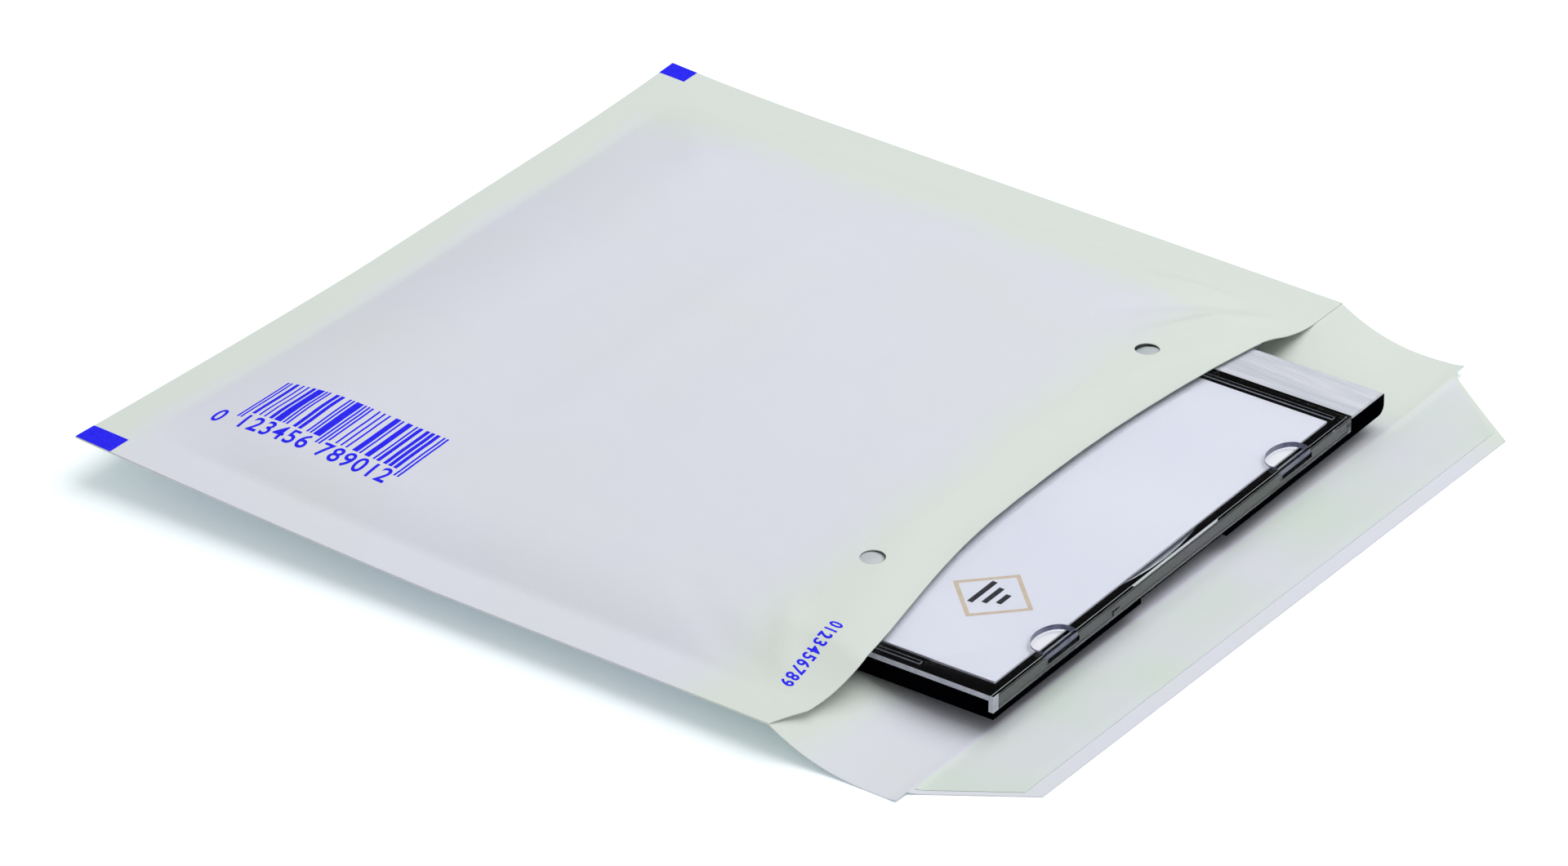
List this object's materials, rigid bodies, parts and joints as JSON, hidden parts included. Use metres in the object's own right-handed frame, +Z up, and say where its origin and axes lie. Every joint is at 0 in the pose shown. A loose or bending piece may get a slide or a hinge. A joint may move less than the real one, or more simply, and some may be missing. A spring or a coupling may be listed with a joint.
{
  "type": "padded cd envelope",
  "caption": "White padded mailing envelope for a disc, open at its mouth with the flap folded out flat, and a slim disc case drawn partly out of it.",
  "frame": {"origin": "on the table, under the middle of the open envelope with its flap folded out", "axes": "+Y from the flap's outer edge to the closed end, +Z up, +X across the mouth towards the case's spine"},
  "size_m": [0.2, 0.224, 0.013],
  "materials": {
    "white_paper": "uncoated white kraft paper",
    "bubble_film": "clear polyethylene bubble film",
    "glue": "tacky hot-melt glue",
    "silicone_paper": "smooth silicone-coated paper",
    "black_plastic": "moulded polystyrene, glossy",
    "clear_plastic": "clear moulded polystyrene",
    "ribbed_plastic": "translucent polystyrene with fine ribs",
    "coated_paper": "coated printing paper",
    "disc_plastic": "metallised polycarbonate"
  },
  "bodies": {
    "root": {"paper_envelope": "white_paper", "bubble_lining": "bubble_film", "glue_band": "glue", "release_liner": "silicone_paper", "case_base": "black_plastic", "case_lid": "clear_plastic", "spine_strip": "ribbed_plastic", "booklet": "coated_paper", "disc": "disc_plastic"}
  },
  "joints": []
}
